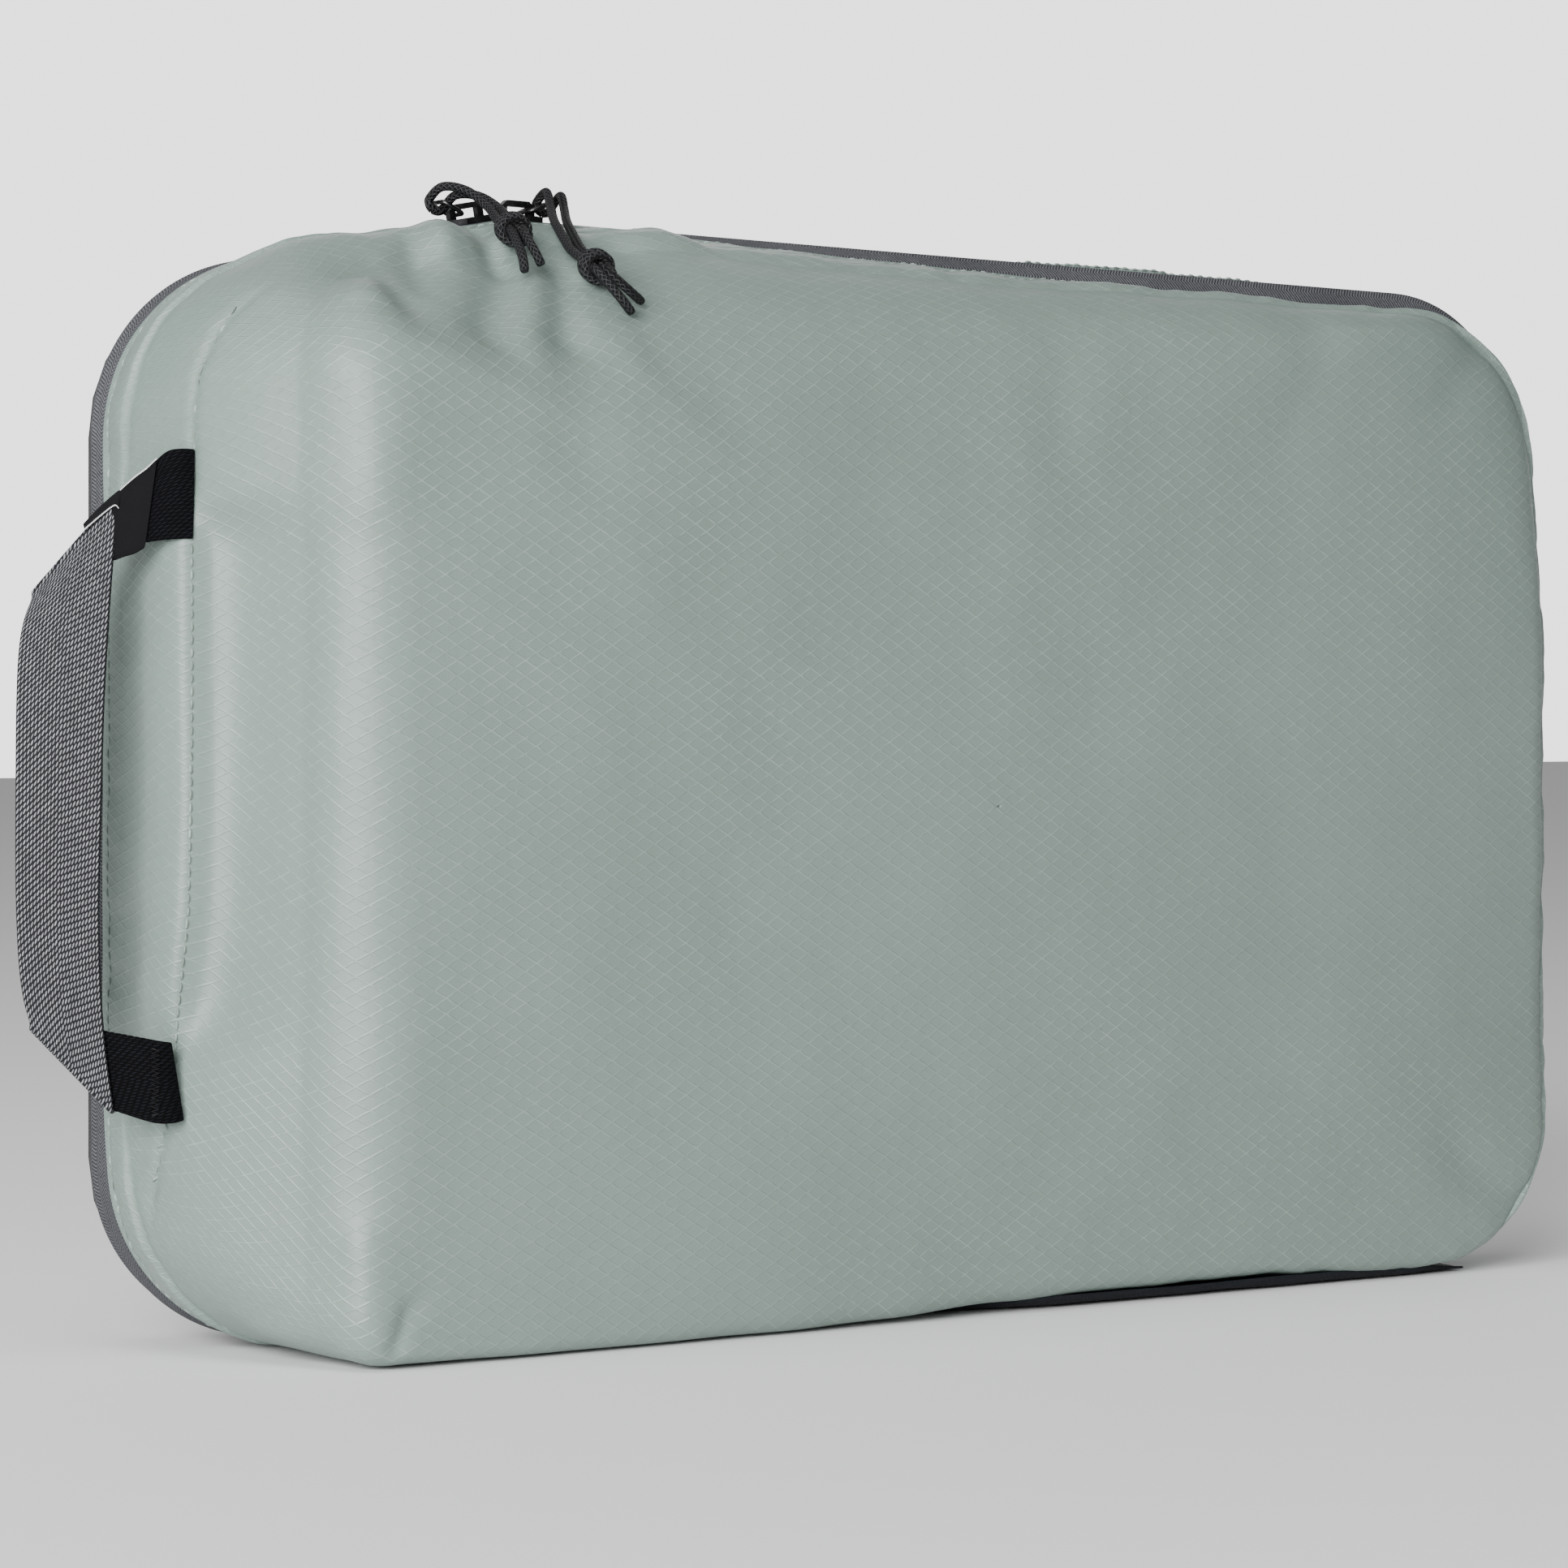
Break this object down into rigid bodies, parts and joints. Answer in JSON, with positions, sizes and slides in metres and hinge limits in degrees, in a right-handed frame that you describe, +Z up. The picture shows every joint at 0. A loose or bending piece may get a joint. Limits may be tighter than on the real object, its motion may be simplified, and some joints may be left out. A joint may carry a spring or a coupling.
{
  "type": "packing cube",
  "caption": "Zipped ripstop packing cube, wedge shaped as when filled, with a hinged lid, a two-way zip with cord pulls and a webbing carry handle.",
  "frame": {"origin": "bottom centre of the whole piece, standing on its long side", "axes": "+X along the long side away from the carry handle, +Y towards the lid, +Z up"},
  "size_m": [0.4228, 0.0921, 0.2694],
  "materials": {
    "ripstop_fabric": "satin",
    "hinge_binding": "matte",
    "zip_tape": "matte",
    "zip_coil": "satin",
    "zip_metal": "satin",
    "seam_binding": "matte",
    "pull_cord": "matte",
    "handle_webbing": "matte",
    "handle_label": "satin",
    "tack_thread": "matte"
  },
  "bodies": {
    "root": {"front_panel": "ripstop_fabric", "end_gusset": "ripstop_fabric", "hinge_strip": "hinge_binding", "body_zip_tape": "zip_tape", "body_zip_coil": "zip_coil", "body_zip_stop_near": "zip_metal", "body_zip_stop_far": "zip_metal", "body_seam_binding": "seam_binding"},
    "lid": {"lid_panel": "ripstop_fabric", "lid_zip_tape": "zip_tape", "lid_zip_coil": "zip_coil", "lid_zip_stop_near": "zip_metal", "lid_zip_stop_far": "zip_metal", "lid_seam_binding": "seam_binding"},
    "left_slider": {"left_slider": "zip_metal"},
    "left_pull": {"left_bail": "zip_metal", "left_pull_loop": "pull_cord", "left_pull_knot": "pull_cord", "left_pull_tail_a": "pull_cord", "left_pull_tail_b": "pull_cord"},
    "right_slider": {"right_slider": "zip_metal"},
    "right_pull": {"right_bail": "zip_metal", "right_pull_loop": "pull_cord", "right_pull_knot": "pull_cord", "right_pull_tail_a": "pull_cord", "right_pull_tail_b": "pull_cord"},
    "handle": {"handle_strap": "handle_webbing", "handle_label": "handle_label", "handle_bar_tack_upper": "tack_thread", "handle_bar_tack_lower": "tack_thread"}
  },
  "joints": [
    {"name": "lid_hinge", "type": "hinge", "parent": "root", "child": "lid", "pos_m": [0.0124, 0.0335, 0.0007], "axis": [-1, 0, 0], "range_deg": [0, 170]},
    {"name": "left_slider_run", "type": "slide", "parent": "root", "child": "left_slider", "axis": [-0.9836, 0, -0.1802], "range_m": [0, 0.008]},
    {"name": "left_pull_swing", "type": "hinge", "parent": "left_slider", "child": "left_pull", "pos_m": [-0.09457, 0.0275, 0.26219], "axis": [0, 1, 0], "range_deg": [0, 20]},
    {"name": "right_slider_run", "type": "slide", "parent": "root", "child": "right_slider", "axis": [0.9994, 0, -0.0353], "range_m": [0, 0.245]},
    {"name": "right_pull_swing", "type": "hinge", "parent": "right_slider", "child": "right_pull", "pos_m": [-0.07682, 0.0275, 0.26349], "axis": [0, -1, 0], "range_deg": [0, 30]},
    {"name": "handle_swing", "type": "hinge", "parent": "root", "child": "handle", "pos_m": [-0.1794, -0.0098, 0.128], "axis": [0, 0, 1], "range_deg": [-20, 100]}
  ]
}
